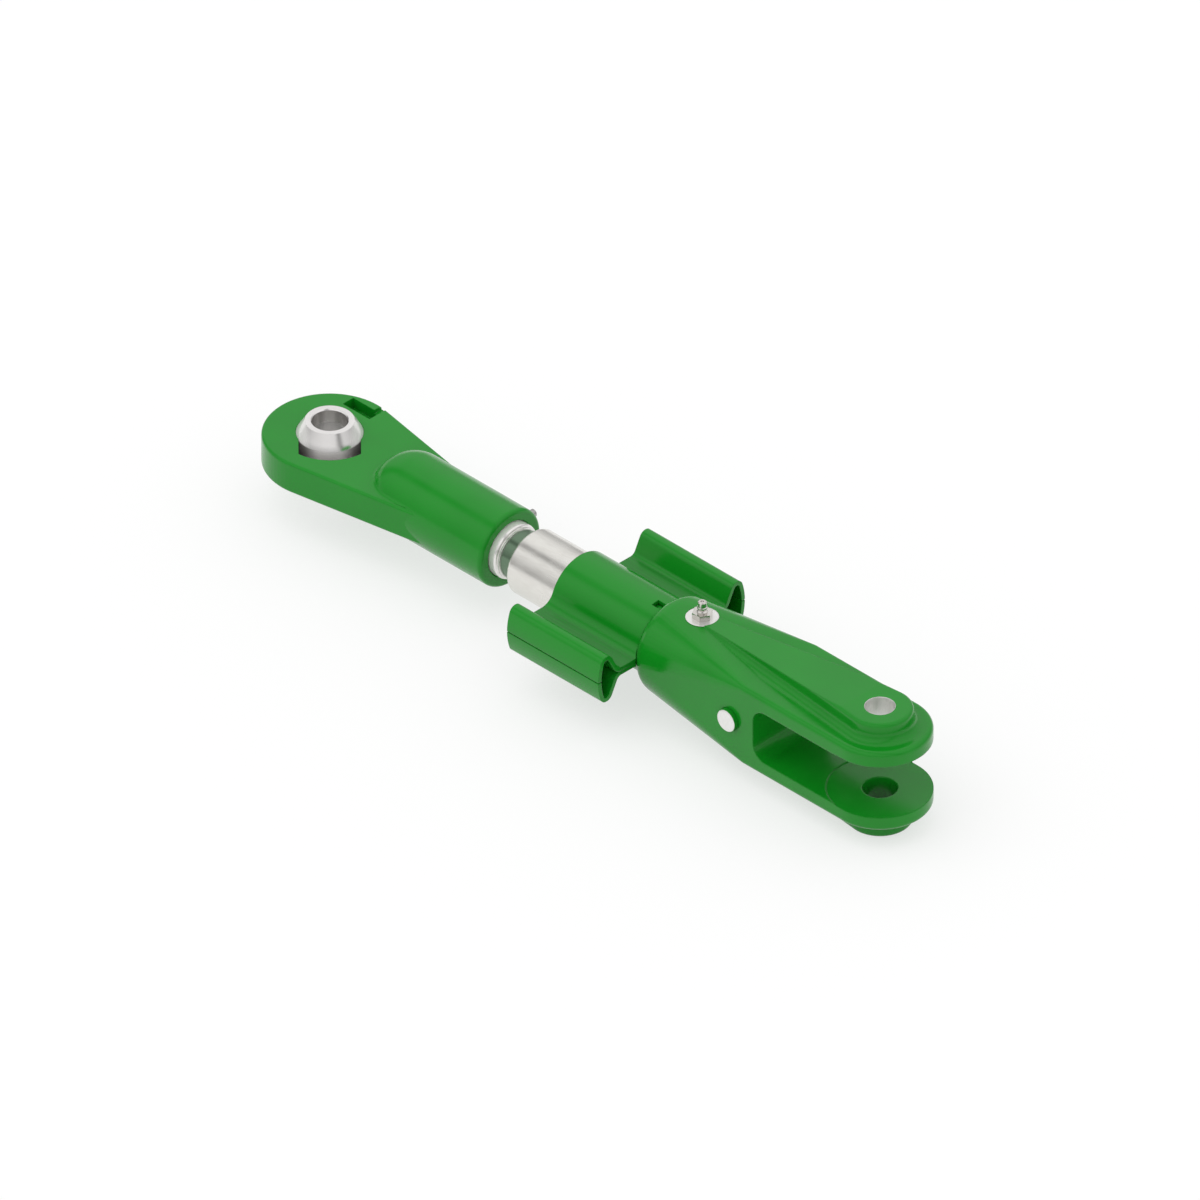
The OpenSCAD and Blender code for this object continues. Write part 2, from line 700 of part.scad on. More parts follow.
module thrust_washer() {
    color("goldenrod") difference() {
        rod(sleeve_end + face_play, spigot_start, washer_out_r);
        rod(sleeve_end, spigot_start + 1, washer_in_r);
    }
}

module journal_seal() {
    color("black") about_x()
        translate([stem_r + seal_r + 0.05, spigot_start + 6]) circle(r = seal_r);
}

// Puts a fitting on the clevis, standing on its spot face
module place_clevis_fitting() {
    translate([fitting_x, 0, spot_top]) children();
}

// Puts a fitting on the far side of the barrel
module place_barrel_fitting() {
    translate([barrel_fitting_x, barrel_fitting_seat, 0]) rotate([-90, 0, 0]) children();
}

// Tapped hole and grease passage under a fitting, with a spot face round it
module fitting_hole(depth) {
    passage_r = 2;
    face_r = hex_af / 2 + 2;
    translate([0, 0, -shank_l]) cylinder(r = shank_r, h = shank_l + 1);
    translate([0, 0, -depth]) cylinder(r = passage_r, h = depth);
    cylinder(r = face_r, h = hex_h);
}

// Grease fitting: hexagon, neck, collar, head and shank round a stepped bore
module grease_fitting() {
    neck_top = fitting_h - fitting_head_l;
    collar_top = neck_top + 1.1;
    foot_bore_r = 0.9;
    color("gainsboro") difference() {
        union() {
            cylinder(d = hex_af / cos(30), h = hex_h, $fn = 6);
            rotate_extrude() polygon([
                [0, -shank_l], [shank_r - 1, -shank_l], [shank_r, 1 - shank_l], [shank_r, 0.5],
                [fitting_neck_r + 1, 0.5], [fitting_neck_r + 1, hex_h + 0.8], [fitting_neck_r, hex_h + 1.6],
                [fitting_neck_r, neck_top - 0.3], [fitting_collar_r, neck_top + 0.3], [fitting_collar_r, collar_top],
                [fitting_head_r, collar_top + 0.4], [fitting_head_r, fitting_h - 0.6],
                [fitting_head_r - 0.6, fitting_h], [0, fitting_h]
            ]);
        }
        translate([0, 0, -shank_l - 1]) cylinder(r = foot_bore_r, h = fitting_h + shank_l);
        translate([0, 0, spring_foot]) cylinder(r = check_bore_r, h = fitting_h - mouth_h - spring_foot);
        translate([0, 0, fitting_h - 2 * mouth_h]) cylinder(r = mouth_r, h = 3 * mouth_h);
    }
}

module check_ball() {
    color("silver") translate([0, 0, ball_h]) sphere(r = check_r);
}

// Check spring: one round wire swept along a helix with six sides
module check_spring() {
    sides = 6;
    low = spring_foot + wire_r + 0.03;
    high = ball_h - check_r - wire_r;
    rings = spring_turns * coil_steps;
    points = [
        for (i = [0 : rings], k = [0 : sides - 1])
            let (a = 360 * i / coil_steps, b = 360 * k / sides, r = spring_coil_r + wire_r * cos(b))
                [r * cos(a), r * sin(a), low + (high - low) * i / rings + wire_r * sin(b)]
    ];
    walls = [
        for (i = [0 : rings - 1], k = [0 : sides - 1])
            let (n = (k + 1) % sides)
                [i * sides + k, (i + 1) * sides + k, (i + 1) * sides + n, i * sides + n]
    ];
    ends = [[for (k = [0 : sides - 1]) k], [for (k = [sides - 1 : -1 : 0]) rings * sides + k]];
    color("silver") polyhedron(points = points, faces = concat(walls, ends));
}

module clevis_grease_fitting() {
    place_clevis_fitting() grease_fitting();
}

module clevis_check_ball() {
    place_clevis_fitting() check_ball();
}

module clevis_check_spring() {
    place_clevis_fitting() check_spring();
}

module barrel_grease_fitting() {
    place_barrel_fitting() grease_fitting();
}

module barrel_check_ball() {
    place_barrel_fitting() check_ball();
}

module barrel_check_spring() {
    place_barrel_fitting() check_spring();
}

clevis_body();
near_retaining_pin();
far_retaining_pin();
clevis_grease_fitting();
clevis_check_ball();
clevis_check_spring();
journal_seal();
thrust_washer();
adjusting_screw();
turning_sleeve();
sleeve_pin();
near_drive_key();
far_drive_key();
handle_upper_half();
handle_lower_half();
upper_end();
barrel_grease_fitting();
barrel_check_ball();
barrel_check_spring();
swivel_ball();
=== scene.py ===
import math

import bmesh
import bpy
from mathutils import Matrix, Vector


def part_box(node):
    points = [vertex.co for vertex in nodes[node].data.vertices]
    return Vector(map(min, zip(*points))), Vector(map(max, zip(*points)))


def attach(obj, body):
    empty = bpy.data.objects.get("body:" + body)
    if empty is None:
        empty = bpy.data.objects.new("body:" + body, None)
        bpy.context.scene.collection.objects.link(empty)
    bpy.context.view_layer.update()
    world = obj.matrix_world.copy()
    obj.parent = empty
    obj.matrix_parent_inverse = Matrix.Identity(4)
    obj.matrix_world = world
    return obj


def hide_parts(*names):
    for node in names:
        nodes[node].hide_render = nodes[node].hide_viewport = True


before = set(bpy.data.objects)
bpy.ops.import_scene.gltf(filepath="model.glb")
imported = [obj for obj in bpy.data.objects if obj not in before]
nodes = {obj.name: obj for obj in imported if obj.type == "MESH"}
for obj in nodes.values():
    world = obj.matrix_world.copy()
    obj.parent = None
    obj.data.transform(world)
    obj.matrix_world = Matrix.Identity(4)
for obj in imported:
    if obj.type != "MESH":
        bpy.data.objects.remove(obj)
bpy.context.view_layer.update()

# Studio.
# A white room with a pale floor just under the link. The view is a true isometric one, so the camera is parallel.
# What the bare metal mirrors is two long soft lamps overhead, the gap between them, and walls a little dimmer.
VIEW_RIGHT = Vector((1, 1, 0)).normalized()
VIEW_UP = Vector((-1, 1, 2)).normalized()
VIEW_BACK = Vector((1, -1, 1)).normalized()
VIEW_DISTANCE = 2
PIXELS_PER_MM = 1.42
FRAME_PIXELS = 1200
CENTRE_PIXELS = (270.25, -155.6)
SUN_STRENGTH, SUN_SPREAD, SUN_TILT = 0.5, 60, (22, -18)
ROOM_LIGHT = 0.88
WALL_LIGHT = 0.42
LAMP_GAP_SIDE = Vector((0, 0.966, 0.259))
LAMP_GAP_WIDTH, LAMP_GAP_LIGHT = 0.24, 0.3
WALL_FOOT, WALL_TOP = -0.05, 0.75
HORIZON_FROM, HORIZON_TO = -0.03, -0.005
FLOOR_Z = -0.0492
FLOOR_REACH = 30
FLOOR_TONE, FLOOR_ROUGH = 0.78, 0.9
FLOOR_GLOW = 0.65


def put(name, data):
    """A new object in the scene."""
    thing = bpy.data.objects.new(name, data)
    bpy.context.scene.collection.objects.link(thing)
    return thing


def number(tree, operation, first, second=None, third=None):
    """One arithmetic step; each operand is a number or the output of a node."""
    node = tree.nodes.new("ShaderNodeMath")
    node.operation = operation
    for socket, value in zip(node.inputs, (first, second, third)):
        if value is None:
            continue
        if isinstance(value, (int, float)):
            socket.default_value = value
        else:
            tree.links.new(value, socket)
    return node.outputs[0]


def vector_step(tree, operation, where, constant):
    """Outputs of one vector step between the output of a node and a constant."""
    node = tree.nodes.new("ShaderNodeVectorMath")
    node.operation = operation
    node.inputs[1].default_value = constant
    tree.links.new(where, node.inputs[0])
    return node.outputs


def split(tree, where):
    """X, Y and Z of a point or a direction."""
    node = tree.nodes.new("ShaderNodeSeparateXYZ")
    tree.links.new(where, node.inputs[0])
    return node.outputs


def fade(tree, value, start, end, low, high):
    """Goes softly from low to high as the value goes from start to end."""
    step = tree.nodes.new("ShaderNodeMapRange")
    step.interpolation_type = "SMOOTHSTEP"
    for socket, amount in zip(step.inputs[1:5], (start, end, low, high)):
        socket.default_value = amount
    tree.links.new(value, step.inputs["Value"])
    return step.outputs[0]


def seen_by_lens_or_mirror(tree):
    """1 for rays from the camera and for rays that left a shiny or clear surface, else 0."""
    path = tree.nodes.new("ShaderNodeLightPath")
    shiny = number(tree, "MAXIMUM", path.outputs["Is Camera Ray"], path.outputs["Is Glossy Ray"])
    return number(tree, "MAXIMUM", shiny, path.outputs["Is Transmission Ray"])


def either_shader(tree, share, first, second):
    """Two shaders in one: the first at a share of 0 and the second at 1."""
    mix = tree.nodes.new("ShaderNodeMixShader")
    if isinstance(share, float):
        mix.inputs[0].default_value = share
    else:
        tree.links.new(share, mix.inputs[0])
    tree.links.new(first.outputs[0], mix.inputs[1])
    tree.links.new(second.outputs[0], mix.inputs[2])
    return mix


def new_finish(name):
    """A new material, its node tree and its shader."""
    material = bpy.data.materials.new(name)
    material.use_nodes = True
    return material, material.node_tree, material.node_tree.nodes["Principled BSDF"]


camera_data = bpy.data.cameras.new("camera")
camera_data.type = "ORTHO"
camera_data.ortho_scale = FRAME_PIXELS / PIXELS_PER_MM / 1000
camera = put("camera", camera_data)
centre_u, centre_v = (pixels / PIXELS_PER_MM / 1000 for pixels in CENTRE_PIXELS)
camera_place = VIEW_RIGHT * centre_u + VIEW_UP * centre_v + VIEW_BACK * VIEW_DISTANCE
camera_turn = Matrix((VIEW_RIGHT, VIEW_UP, VIEW_BACK)).transposed().to_4x4()
camera.matrix_world = Matrix.Translation(camera_place) @ camera_turn
bpy.context.scene.camera = camera
bpy.context.scene.view_settings.view_transform = "Standard"

lamp_data = bpy.data.lights.new("soft_lamp", "SUN")
lamp_data.energy = SUN_STRENGTH
lamp_data.angle = math.radians(SUN_SPREAD)
lamp = put("soft_lamp", lamp_data)
lamp.visible_glossy = False
lamp.rotation_euler = (math.radians(SUN_TILT[0]), math.radians(SUN_TILT[1]), 0)

room = bpy.data.worlds.new("white_room")
bpy.context.scene.world = room
room.use_nodes = True
room_tree = room.node_tree
room_tree.nodes.clear()
direction = room_tree.nodes.new("ShaderNodeTexCoord").outputs["Generated"]
height = split(room_tree, direction)[2]
off_gap = number(room_tree, "ABSOLUTE", vector_step(room_tree, "DOT_PRODUCT", direction, LAMP_GAP_SIDE)["Value"])
wall_to_lamp = fade(room_tree, height, WALL_FOOT, WALL_TOP, WALL_LIGHT, 1.0)
under_floor = fade(room_tree, height, HORIZON_FROM, HORIZON_TO, 1.0, 0.0)
lamp_gap = fade(room_tree, off_gap, 0.0, LAMP_GAP_WIDTH, LAMP_GAP_LIGHT, 1.0)
lamps_and_walls = number(room_tree, "MULTIPLY", wall_to_lamp, lamp_gap)
seen = room_tree.nodes.new("ShaderNodeBackground")
room_tree.links.new(number(room_tree, "MAXIMUM", lamps_and_walls, under_floor), seen.inputs["Strength"])
lighting = room_tree.nodes.new("ShaderNodeBackground")
lighting.inputs["Strength"].default_value = ROOM_LIGHT
for shade in (seen, lighting):
    shade.inputs["Color"].default_value = (1, 1, 1, 1)
room_light = either_shader(room_tree, seen_by_lens_or_mirror(room_tree), lighting, seen)
room_out = room_tree.nodes.new("ShaderNodeOutputWorld")
room_tree.links.new(room_light.outputs[0], room_out.inputs["Surface"])

floor_mesh = bpy.data.meshes.new("floor")
floor_corners = [(x * FLOOR_REACH, y * FLOOR_REACH, FLOOR_Z) for x, y in ((-1, -1), (1, -1), (1, 1), (-1, 1))]
floor_mesh.from_pydata(floor_corners, [], [(0, 1, 2, 3)])
floor = put("floor", floor_mesh)
floor_paint, floor_tree, floor_shader = new_finish("floor_white")
floor_shader.inputs["Base Color"].default_value = (FLOOR_TONE, FLOOR_TONE, FLOOR_TONE, 1)
floor_shader.inputs["Roughness"].default_value = FLOOR_ROUGH
floor_shader.inputs["Specular IOR Level"].default_value = 0.0
white_paper = floor_tree.nodes.new("ShaderNodeBsdfDiffuse")
white_paper.inputs["Color"].default_value = (1, 1, 1, 1)
white_glow = floor_tree.nodes.new("ShaderNodeEmission")
white_glow.inputs["Strength"].default_value = 1.0
backdrop = either_shader(floor_tree, FLOOR_GLOW, white_paper, white_glow)
floor_look = either_shader(floor_tree, seen_by_lens_or_mirror(floor_tree), floor_shader, backdrop)
floor_tree.links.new(floor_look.outputs[0], floor_tree.nodes["Material Output"].inputs["Surface"])
floor_mesh.materials.append(floor_paint)


# Upper end.
# One steel forging, shot blasted and sprayed with a glossy green enamel before the race, the loading slot and the
# thread in the barrel are machined, so those are bare. The forged skin shows only as faint waves under the paint.
ENAMEL = (0.0045, 0.25, 0.012)
ENAMEL_SHINE = 0.35
TONE_RANGE, GLOSS_RANGE = (0.95, 1.04), (0.16, 0.24)
CUT_STEEL = ((0.76, 0.75, 0.73), (0.95, 0.94, 0.92))
CUT_GLOSS, CUT_METAL = 0.12, 0.7
SOFT_EDGE = 0.0009
FORGED_SKIN = 0.00008
TONE_SPOTS, GLOSS_SPOTS, SKIN_WAVES, PAINT_PEEL, CUTTER_MARKS = 0.04, 0.02, 0.016, 0.0014, 0.0005
PEEL_DEPTH = 0.00001
RACE_MOUTH_R = 0.03496
EYE_TOP, EYE_BOTTOM = 0.01094, -0.01414
DOME_X = 0.0705
BORE_R = 0.02165
POCKET_SIDE = 0.0302


def place_in_link(tree):
    """The shaded point and its X, Y and Z, in metres in the link's own frame."""
    where = tree.nodes.new("ShaderNodeTexCoord").outputs["Object"]
    return where, split(tree, where)


def grain(tree, where, size, detail=2, stretch=None):
    """Noise whose spots are about that many metres across, drawn out along an axis where stretch says so."""
    if stretch:
        where = vector_step(tree, "MULTIPLY", where, stretch)[0]
    noise = tree.nodes.new("ShaderNodeTexNoise")
    noise.inputs["Scale"].default_value = 1 / size
    noise.inputs["Detail"].default_value = detail
    tree.links.new(where, noise.inputs["Vector"])
    return noise.outputs["Fac"]


def spread(tree, value, low, high):
    """A noise value stretched to run from low to high."""
    return fade(tree, value, 0.25, 0.75, low, high)


def shaded(colour, share):
    """The same colour, darker or lighter."""
    return tuple(channel * share for channel in colour)


def blend_colour(tree, share, first, second):
    """Mix of two colours by a share; each colour is a value or the output of a node."""
    mix = tree.nodes.new("ShaderNodeMix")
    mix.data_type = "RGBA"
    for socket, value in ((mix.inputs[6], first), (mix.inputs[7], second)):
        if isinstance(value, tuple):
            socket.default_value = value + (1,)
        else:
            tree.links.new(value, socket)
    tree.links.new(share, mix.inputs[0])
    return mix.outputs[2]


def recolour(tree, share, second):
    """Lays a second colour over what already colours the finish, by a share."""
    socket = tree.nodes["Principled BSDF"].inputs["Base Color"]
    tree.links.new(blend_colour(tree, share, socket.links[0].from_socket, second), socket)


def bumps(tree, layers, edge=0.0):
    """Stack of bumps over softened edges; each layer is a height, its depth in metres and its strength."""
    normal = None
    if edge:
        rounded = tree.nodes.new("ShaderNodeBevel")
        rounded.samples = 6
        rounded.inputs["Radius"].default_value = edge
        normal = rounded.outputs[0]
    for rise, depth, strength in layers:
        bump = tree.nodes.new("ShaderNodeBump")
        bump.inputs["Distance"].default_value = depth
        bump.inputs["Strength"].default_value = strength
        tree.links.new(rise, bump.inputs["Height"])
        if normal:
            tree.links.new(normal, bump.inputs["Normal"])
        normal = bump.outputs[0]
    return normal


def enamel(name, skin_depth, bare=None, streak=(1, 1, 1), edge=SOFT_EDGE):
    """Green enamel over steel. skin_depth is the depth of the forged waves, and bare gives where the paint stops."""
    material, tree, shader = new_finish(name)
    where, xyz = place_in_link(tree)
    tone = spread(tree, grain(tree, where, TONE_SPOTS, detail=3, stretch=streak), 0.0, 1.0)
    colour = blend_colour(tree, tone, *(shaded(ENAMEL, share) for share in TONE_RANGE))
    gloss = spread(tree, grain(tree, where, GLOSS_SPOTS, stretch=streak), *GLOSS_RANGE)
    peel = grain(tree, where, PAINT_PEEL, detail=1)
    waves = grain(tree, where, SKIN_WAVES)
    shader.inputs["Specular IOR Level"].default_value = ENAMEL_SHINE
    if bare:
        steel = bare(tree, xyz)
        cut_marks = grain(tree, where, CUTTER_MARKS, stretch=(1, 1, 0.2))
        colour = blend_colour(tree, steel, colour, blend_colour(tree, cut_marks, *CUT_STEEL))
        gloss = number(tree, "ADD", gloss, number(tree, "MULTIPLY", steel, CUT_GLOSS))
        tree.links.new(number(tree, "MULTIPLY", steel, CUT_METAL), shader.inputs["Metallic"])
    tree.links.new(colour, shader.inputs["Base Color"])
    tree.links.new(gloss, shader.inputs["Roughness"])
    layers = ((waves, skin_depth, 0.5), (peel, PEEL_DEPTH, 0.3))
    tree.links.new(bumps(tree, layers, edge), shader.inputs["Normal"])
    return material


def distance_off(tree, first, second):
    """Distance from an axis, from the two coordinates across it."""
    return number(tree, "SQRT", number(tree, "ADD", number(tree, "POWER", first, 2), number(tree, "POWER", second, 2)))


def bare_in_upper_end(tree, xyz):
    """Inside of the race and loading slot, and the bore of the barrel."""
    x, y, z = xyz
    below_top = number(tree, "LESS_THAN", z, EYE_TOP)
    above_bottom = number(tree, "GREATER_THAN", z, EYE_BOTTOM)
    in_race = number(tree, "LESS_THAN", distance_off(tree, x, y), RACE_MOUTH_R)
    in_eye = number(tree, "MULTIPLY", in_race, number(tree, "MULTIPLY", below_top, above_bottom))
    near_axis = number(tree, "LESS_THAN", distance_off(tree, y, z), BORE_R)
    in_bore = number(tree, "MULTIPLY", near_axis, number(tree, "GREATER_THAN", x, DOME_X))
    off_pocket = number(tree, "LESS_THAN", y, POCKET_SIDE)
    return number(tree, "MULTIPLY", off_pocket, number(tree, "MAXIMUM", in_eye, in_bore))


def wear(node_name, material):
    """Puts one material on every face of a CAD piece."""
    mesh = nodes[node_name].data
    mesh.materials.clear()
    mesh.materials.append(material)


def smooth(piece, angle=30):
    """Soft shading over edges flatter than that many degrees."""
    bpy.context.view_layer.objects.active = piece
    for other in bpy.context.selected_objects:
        other.select_set(False)
    piece.select_set(True)
    bpy.ops.object.shade_smooth_by_angle(angle=math.radians(angle))
    piece.select_set(False)


wear("upper_end", enamel("green_enamel_upper_end", FORGED_SKIN, bare_in_upper_end))
smooth(nodes["upper_end"])


# Swivel ball.
# Bearing steel, hardened, ground and polished, with its two faces turned flat and a reamed bore. The band that sits
# inside the eye is painted darker as shade, most of all at the sides of the loading slot.
BALL_STEEL = ((0.78, 0.76, 0.75), (0.88, 0.86, 0.85))
# Colour of the painted shade on the band inside the eye, and its share in the slot's middle and at its sides.
PAINTED_SLOT_SHADE = (0.08, 0.078, 0.07)
SHADE_AT_MIDDLE, SHADE_AT_SIDES = 0.3, 0.92
SHADE_FROM, SHADE_TOP = 0.0096, 0.0108
SLOT_MIDDLE, FLANK_END, SLOT_SIDE = 0.01, 0.018, 0.026
SATIN, FULL_POLISH = 0.35, 1.0
MARK_DEPTH = 0.00001
CLOUD_SPOTS = 0.02


def bare_steel(name, colours, rough, size=0.0005, stretch=(1, 1, 1), scratch=0.2, edge=0.0004):
    """Bare metal, dark to light, with fine tool marks drawn out as stretch says."""
    material, tree, shader = new_finish(name)
    shader.inputs["Metallic"].default_value = 1.0
    where = place_in_link(tree)[0]
    marks = grain(tree, where, size, detail=3, stretch=stretch)
    cloud = grain(tree, where, CLOUD_SPOTS)
    both = number(tree, "MULTIPLY_ADD", marks, 0.7, number(tree, "MULTIPLY", cloud, 0.3))
    tree.links.new(blend_colour(tree, spread(tree, both, 0, 1), *colours), shader.inputs["Base Color"])
    tree.links.new(spread(tree, cloud, rough * 0.85, rough * 1.2), shader.inputs["Roughness"])
    tree.links.new(bumps(tree, ((marks, MARK_DEPTH, scratch),), edge), shader.inputs["Normal"])
    return material


ball_finish = bare_steel("polished_ball", BALL_STEEL, rough=0.18, size=0.0008, stretch=(1, 1, 4), scratch=0.1)
ball_tree = ball_finish.node_tree
ball_x, ball_y, ball_z = place_in_link(ball_tree)[1]
beside_slot = number(ball_tree, "ABSOLUTE", number(ball_tree, "ADD", ball_x, ball_y))
from_middle = number(ball_tree, "ABSOLUTE", ball_z)
# Painted shade: the band of the ball inside the eye is darkened, deepest at the sides of the loading slot.
inside_eye = fade(ball_tree, from_middle, SHADE_FROM, SHADE_TOP, 1.0, 0.0)
shade_share = fade(ball_tree, beside_slot, SLOT_MIDDLE, SLOT_SIDE, SHADE_AT_MIDDLE, SHADE_AT_SIDES)
recolour(ball_tree, number(ball_tree, "MULTIPLY", inside_eye, shade_share), PAINTED_SLOT_SHADE)
bright_flank = fade(ball_tree, beside_slot, FLANK_END, SLOT_SIDE, FULL_POLISH - SATIN, 0.0)
above_shade = fade(ball_tree, from_middle, SHADE_FROM, SHADE_TOP, 0.0, 1.0)
polish = number(ball_tree, "MULTIPLY_ADD", bright_flank, above_shade, SATIN)
ball_tree.links.new(polish, ball_tree.nodes["Principled BSDF"].inputs["Metallic"])
wear("swivel_ball", ball_finish)
smooth(nodes["swivel_ball"])


# Grease fittings.
# Turned from free-cutting steel and zinc plated, and screwed into their holes. A ball on a small wire spring closes
# the mouth of each. The one on the barrel is given darker zinc than the one on the clevis.
ZINC = ((0.56, 0.54, 0.5), (0.78, 0.76, 0.73))
DARK_ZINC = ((0.26, 0.25, 0.25), (0.5, 0.49, 0.48))
WIRE_STEEL = ((0.5, 0.5, 0.5), (0.7, 0.7, 0.7))
zinc = bare_steel("zinc_plate", ZINC, rough=0.15, size=0.0006, scratch=0.08, edge=0.0)
dark_zinc = bare_steel("dark_zinc_plate", DARK_ZINC, rough=0.2, size=0.0006, scratch=0.08, edge=0.0)
wire = bare_steel("spring_wire", WIRE_STEEL, rough=0.3, size=0.0003, edge=0.0)
for place, plating in (("barrel", dark_zinc), ("clevis", zinc)):
    wear(place + "_grease_fitting", plating)
    wear(place + "_check_ball", plating)
    wear(place + "_check_spring", wire)


# Adjusting screw.
# A turned steel bar: a rolled thread of 6 mm pitch that runs out in a rounded shoulder, a plain neck and stem, and
# a journal with a groove for the retaining pins. The solids hold it as a plain bar, so it is drawn here. Its neck
# beside the sleeve carries a painted reflection of the green barrel face, in dark green.
PITCH = 0.006
THREAD_R, ROOT_R = 0.0214, 0.0184
THREAD_FLAT, THREAD_SLOPE = 0.2, 0.24
NECK_R = 0.0185
GROOVE_FROM, GROOVE_TO, GROOVE_R = 0.0244, 0.0062, 0.0132
END_CHAMFER = 0.0015
screw_low, screw_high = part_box("adjusting_screw")
THREAD_END = screw_low.x + 0.089
BEAD_END = screw_low.x + 0.096
BEAD_R, BEAD_STEPS, BEAD_TURN = 0.0018, 6, math.radians(75)
RIDGE_L, RIDGE_H = 0.0026, 0.0013
SCREW_STEEL = ((0.52, 0.51, 0.49), (0.74, 0.73, 0.71))
COLLAR_STEEL = ((0.78, 0.76, 0.74), (0.92, 0.9, 0.88))
TURNING_MARKS = (4, 0.6, 0.6)
# Colour and share of the painted reflection of the green barrel face on the neck.
PAINTED_NECK_REFLECTION, REFLECTION_SHARE = (0.015, 0.11, 0.025), 0.85
COLLAR_METAL, STEM_METAL = 0.3, 0.75


def ring_point(x, radius, angle):
    """Point at that angle round the link's axis."""
    return (x, radius * math.cos(angle), radius * math.sin(angle))


def finished(build, name):
    """Ends a mesh build and gives the piece."""
    bmesh.ops.recalc_face_normals(build, faces=build.faces[:])
    mesh = bpy.data.meshes.new(name)
    build.to_mesh(mesh)
    build.free()
    return put(name, mesh)


def thread_radius(turn):
    """Radius of a rounded trapezium thread at that share of its pitch."""
    away = abs((turn % 1.0) - 0.5) * 2
    depth = min(max((away - THREAD_FLAT) / THREAD_SLOPE, 0.0), 1.0)
    depth = depth * depth * (3 - 2 * depth)
    return THREAD_R - (THREAD_R - ROOT_R) * depth


def screw_thread(name, start, end, around=72, per_pitch=24):
    """Closed solid of the threaded length: rows that follow the helix, cut off square at both ends."""
    build = bmesh.new()
    rows = (math.ceil((end - start) / PITCH) + 3) * per_pitch
    grid = []
    for row in range(rows + 1):
        ring = []
        for step in range(around):
            x = start - 2 * PITCH + (row / per_pitch + step / around) * PITCH
            ring.append(build.verts.new(ring_point(x, thread_radius(row / per_pitch), 2 * math.pi * step / around)))
        grid.append(ring)
    for row in range(rows):
        for step in range(around):
            if step < around - 1:
                further, after = row, step + 1
            elif row + 1 + per_pitch <= rows:
                further, after = row + per_pitch, 0
            else:
                continue
            corners = (grid[row][step], grid[further][after], grid[further + 1][after], grid[row + 1][step])
            build.faces.new(corners)
    for at, out in ((start, -1), (end, 1)):
        cut = bmesh.ops.bisect_plane(
            build,
            geom=build.verts[:] + build.edges[:] + build.faces[:],
            dist=1e-7,
            plane_co=(at, 0, 0),
            plane_no=(out, 0, 0),
            clear_outer=True,
        )
        rim = [e for e in cut["geom_cut"] if isinstance(e, bmesh.types.BMEdge) and e.is_boundary]
        bmesh.ops.contextual_create(build, geom=rim)
    return finished(build, name)


def turned(name, profile, around=96):
    """Closed solid of revolution about the link's axis: profile is a list of (x, radius) from end to end."""
    build = bmesh.new()
    angles = [2 * math.pi * step / around for step in range(around)]
    rings = []
    for x, radius in profile:
        rings.append([build.verts.new(ring_point(x, radius, angle)) for angle in (angles if radius else [0.0])])
    for first, second in zip(rings, rings[1:]):
        for s in range(around):
            n = (s + 1) % around
            corners = [first[s % len(first)], first[n % len(first)], second[n % len(second)], second[s % len(second)]]
            unique = list(dict.fromkeys(corners))
            if len(unique) > 2:
                build.faces.new(unique)
    return finished(build, name)


stem_line = [(THREAD_END, 0.0), (THREAD_END, THREAD_R - 0.0003), (THREAD_END + 0.0003, THREAD_R)]
for step in range(BEAD_STEPS + 1):
    turn = BEAD_TURN * step / BEAD_STEPS
    stem_line.append((BEAD_END - BEAD_R * (1 - math.sin(turn)), THREAD_R - BEAD_R * (1 - math.cos(turn))))
stem_line += [
    (BEAD_END + 0.0002, NECK_R + RIDGE_H - 0.0003),
    (BEAD_END + 0.0007, NECK_R + RIDGE_H),
    (BEAD_END + RIDGE_L - 0.0005, NECK_R + RIDGE_H),
    (BEAD_END + RIDGE_L, NECK_R),
    (screw_high.x - GROOVE_FROM, NECK_R),
    (screw_high.x - GROOVE_FROM, GROOVE_R),
    (screw_high.x - GROOVE_TO, GROOVE_R),
    (screw_high.x - GROOVE_TO, NECK_R),
    (screw_high.x - END_CHAMFER, NECK_R),
    (screw_high.x, NECK_R - END_CHAMFER),
    (screw_high.x, 0.0),
]
thread = screw_thread("adjusting_screw_thread", screw_low.x, THREAD_END)
stem = turned("adjusting_screw_stem", stem_line)

screw_finish = bare_steel("turned_screw", SCREW_STEEL, rough=0.16, stretch=TURNING_MARKS, scratch=0.15)
stem_finish = bare_steel("turned_stem", COLLAR_STEEL, rough=0.18, stretch=TURNING_MARKS, scratch=0.15)
stem_tree = stem_finish.node_tree
stem_x = place_in_link(stem_tree)[1][0]
ridge_end, collar_end = BEAD_END + RIDGE_L, BEAD_END - BEAD_R
sleeve_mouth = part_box("turning_sleeve")[0].x
# Painted reflection: the neck from the ridge to the sleeve is coloured dark green, like the green barrel face.
past_ridge = fade(stem_tree, stem_x, ridge_end - 0.0004, ridge_end + 0.0002, 0.0, REFLECTION_SHARE)
before_sleeve = fade(stem_tree, stem_x, sleeve_mouth, sleeve_mouth + 0.004, 1.0, 0.0)
recolour(stem_tree, number(stem_tree, "MULTIPLY", past_ridge, before_sleeve), PAINTED_NECK_REFLECTION)
sheen = fade(stem_tree, stem_x, collar_end - 0.0005, collar_end + 0.0008, COLLAR_METAL, STEM_METAL)
stem_tree.links.new(sheen, stem_tree.nodes["Principled BSDF"].inputs["Metallic"])
for piece, finish in ((thread, screw_finish), (stem, stem_finish)):
    smooth(piece, 35)
    piece.data.materials.append(finish)
    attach(piece, "screw")
    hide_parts("adjusting_screw")


